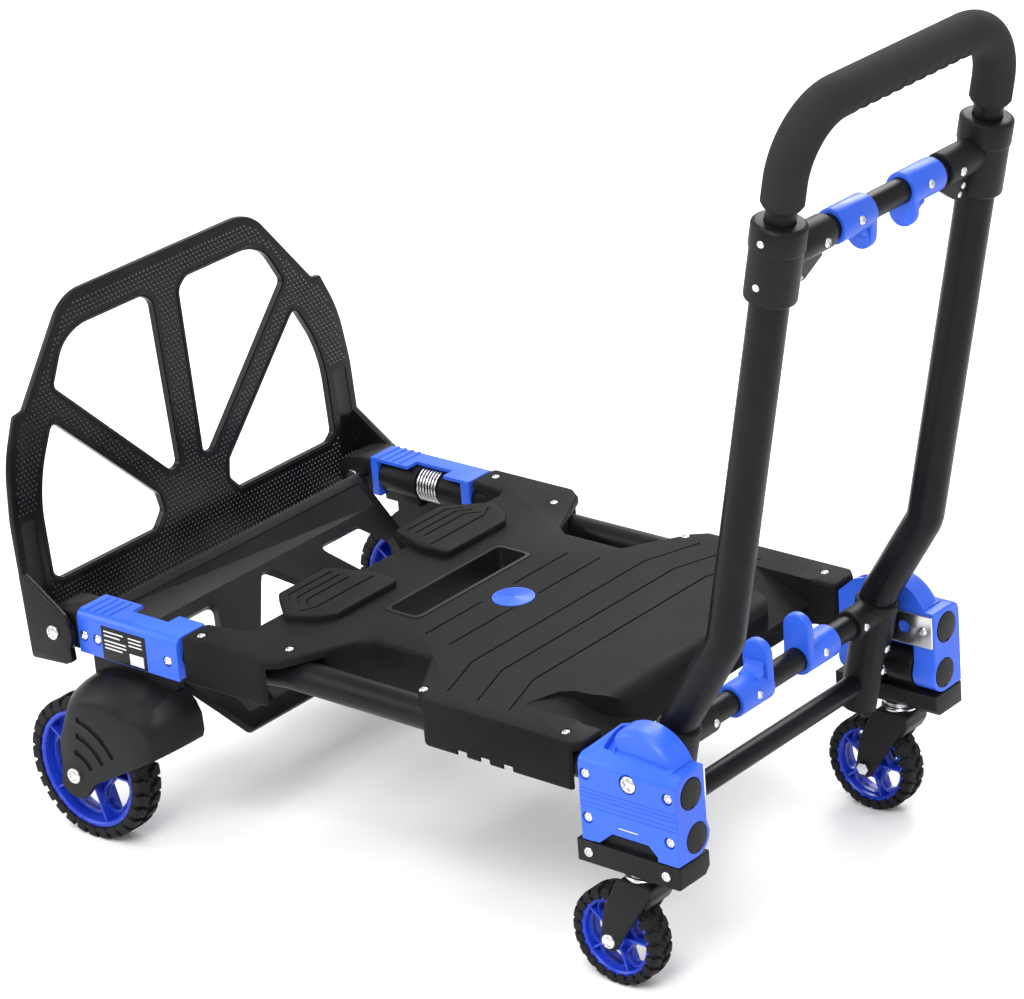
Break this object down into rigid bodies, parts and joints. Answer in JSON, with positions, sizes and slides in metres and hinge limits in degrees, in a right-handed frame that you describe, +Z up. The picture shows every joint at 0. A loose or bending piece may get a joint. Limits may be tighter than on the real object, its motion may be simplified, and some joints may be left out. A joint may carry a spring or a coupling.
{
  "type": "folding platform cart",
  "caption": "Folding hand cart with a moulded deck on two steel rails, a telescopic folding handle, a folding toe plate, swivel casters and folding rear wheels.",
  "frame": {"origin": "on the floor under the middle of the overall bounding box", "axes": "+X along the cart from the toe plate to the handle, +Y across it to the right side, +Z up"},
  "size_m": [0.9632, 0.58, 0.8843],
  "materials": {
    "black_plastic": "fine matte texture",
    "frame_steel": "satin black powder coat",
    "blue_plastic": "satin moulded",
    "tyre_rubber": "matte with tread lugs",
    "grip_foam": "soft matte foam",
    "zinc_steel": "bright zinc plating"
  },
  "bodies": {
    "frame": {"deck_panel": "black_plastic", "rail_left": "frame_steel", "rail_plug_left": "black_plastic", "rear_bracket_left": "blue_plastic", "end_fitting_left": "black_plastic", "toe_bolt_left": "zinc_steel", "front_cover_left": "blue_plastic", "lock_plate_left": "zinc_steel", "caster_tube_left": "frame_steel", "caster_plug_left": "black_plastic", "pivot_bolt_left": "zinc_steel", "rail_right": "frame_steel", "rail_plug_right": "black_plastic", "rear_bracket_right": "blue_plastic", "end_fitting_right": "black_plastic", "toe_bolt_right": "zinc_steel", "front_cover_right": "blue_plastic", "lock_plate_right": "zinc_steel", "caster_tube_right": "frame_steel", "caster_plug_right": "black_plastic", "pivot_bolt_right": "zinc_steel"},
    "handle": {"lower_crossbar": "frame_steel", "upper_crossbar": "frame_steel", "handle_hub_left": "black_plastic", "lower_tube_left": "frame_steel", "collar_left": "black_plastic", "lower_hook_left": "blue_plastic", "upper_hook_left": "blue_plastic", "handle_hub_right": "black_plastic", "lower_tube_right": "frame_steel", "collar_right": "black_plastic", "lower_hook_right": "blue_plastic", "upper_hook_right": "blue_plastic"},
    "grip": {"upper_handle_tube": "frame_steel", "foam_grip": "grip_foam"},
    "release": {"release_bar": "frame_steel"},
    "toe": {"toe_plate": "black_plastic"},
    "brace": {"brace_panel": "black_plastic"},
    "caster_arm_left": {"caster_carrier_left": "black_plastic", "caster_spring_left": "zinc_steel"},
    "caster_swivel_left": {"caster_fork_left": "black_plastic", "caster_axle_left": "zinc_steel"},
    "caster_wheel_left": {"caster_tyre_left": "tyre_rubber", "caster_rim_left": "blue_plastic"},
    "rear_arm_left": {"wheel_carrier_left": "black_plastic", "carrier_spring_left": "zinc_steel", "rear_axle_left": "zinc_steel"},
    "rear_wheel_left": {"rear_tyre_left": "tyre_rubber", "rear_rim_left": "blue_plastic"},
    "caster_arm_right": {"caster_carrier_right": "black_plastic", "caster_spring_right": "zinc_steel"},
    "caster_swivel_right": {"caster_fork_right": "black_plastic", "caster_axle_right": "zinc_steel"},
    "caster_wheel_right": {"caster_tyre_right": "tyre_rubber", "caster_rim_right": "blue_plastic"},
    "rear_arm_right": {"wheel_carrier_right": "black_plastic", "carrier_spring_right": "zinc_steel", "rear_axle_right": "zinc_steel"},
    "rear_wheel_right": {"rear_tyre_right": "tyre_rubber", "rear_rim_right": "blue_plastic"}
  },
  "joints": [
    {"name": "handle_fold", "type": "hinge", "parent": "frame", "child": "handle", "pos_m": [0.29037, 0, 0.222], "axis": [0, -1, 0], "range_deg": [0, 96]},
    {"name": "handle_telescope", "type": "slide", "parent": "handle", "child": "grip", "axis": [0.1994, 0, 0.9799], "range_m": [0, 0.25]},
    {"name": "release_press", "type": "slide", "parent": "handle", "child": "release", "axis": [-0.2195, 0, -0.9756], "range_m": [0, 0.006], "stiffness_N_per_m": 6000, "springref_m": -0.003},
    {"name": "toe_fold", "type": "hinge", "parent": "frame", "child": "toe", "pos_m": [-0.42063, 0, 0.216], "axis": [0, 1, 0], "range_deg": [0, 94]},
    {"name": "brace_fold", "type": "hinge", "parent": "frame", "child": "brace", "pos_m": [-0.40463, 0, 0.223], "axis": [0, -1, 0], "range_deg": [0, 44]},
    {"name": "caster_fold_left", "type": "hinge", "parent": "frame", "child": "caster_arm_left", "pos_m": [0.28737, -0.2, 0.172], "axis": [1, 0, 0], "range_deg": [0, 90]},
    {"name": "caster_swivel_left", "type": "hinge", "parent": "caster_arm_left", "child": "caster_swivel_left", "pos_m": [0.28737, -0.206, 0.124], "axis": [0, 0, 1], "continuous": true},
    {"name": "caster_spin_left", "type": "hinge", "parent": "caster_swivel_left", "child": "caster_wheel_left", "pos_m": [0.25437, -0.206, 0.05], "axis": [0, 1, 0], "continuous": true},
    {"name": "rear_fold_left", "type": "hinge", "parent": "frame", "child": "rear_arm_left", "pos_m": [-0.32663, -0.222, 0.219], "axis": [1, 0, 0], "range_deg": [0, 90]},
    {"name": "rear_spin_left", "type": "hinge", "parent": "rear_arm_left", "child": "rear_wheel_left", "pos_m": [-0.38363, -0.254, 0.077], "axis": [0, 1, 0], "continuous": true},
    {"name": "caster_fold_right", "type": "hinge", "parent": "frame", "child": "caster_arm_right", "pos_m": [0.28737, 0.2, 0.172], "axis": [-1, 0, 0], "range_deg": [0, 90]},
    {"name": "caster_swivel_right", "type": "hinge", "parent": "caster_arm_right", "child": "caster_swivel_right", "pos_m": [0.28737, 0.206, 0.124], "axis": [0, 0, 1], "continuous": true},
    {"name": "caster_spin_right", "type": "hinge", "parent": "caster_swivel_right", "child": "caster_wheel_right", "pos_m": [0.25437, 0.206, 0.05], "axis": [0, 1, 0], "continuous": true},
    {"name": "rear_fold_right", "type": "hinge", "parent": "frame", "child": "rear_arm_right", "pos_m": [-0.32663, 0.222, 0.219], "axis": [-1, 0, 0], "range_deg": [0, 90]},
    {"name": "rear_spin_right", "type": "hinge", "parent": "rear_arm_right", "child": "rear_wheel_right", "pos_m": [-0.38363, 0.254, 0.077], "axis": [0, 1, 0], "continuous": true}
  ],
  "couplings": [
    {"joint": "brace_fold", "follows": "toe_fold", "ratio": 0.468},
    {"joint": "caster_fold_left", "follows": "handle_fold", "ratio": 0.9375},
    {"joint": "rear_fold_left", "follows": "toe_fold", "ratio": 0.957},
    {"joint": "caster_fold_right", "follows": "handle_fold", "ratio": 0.9375},
    {"joint": "rear_fold_right", "follows": "toe_fold", "ratio": 0.957}
  ]
}
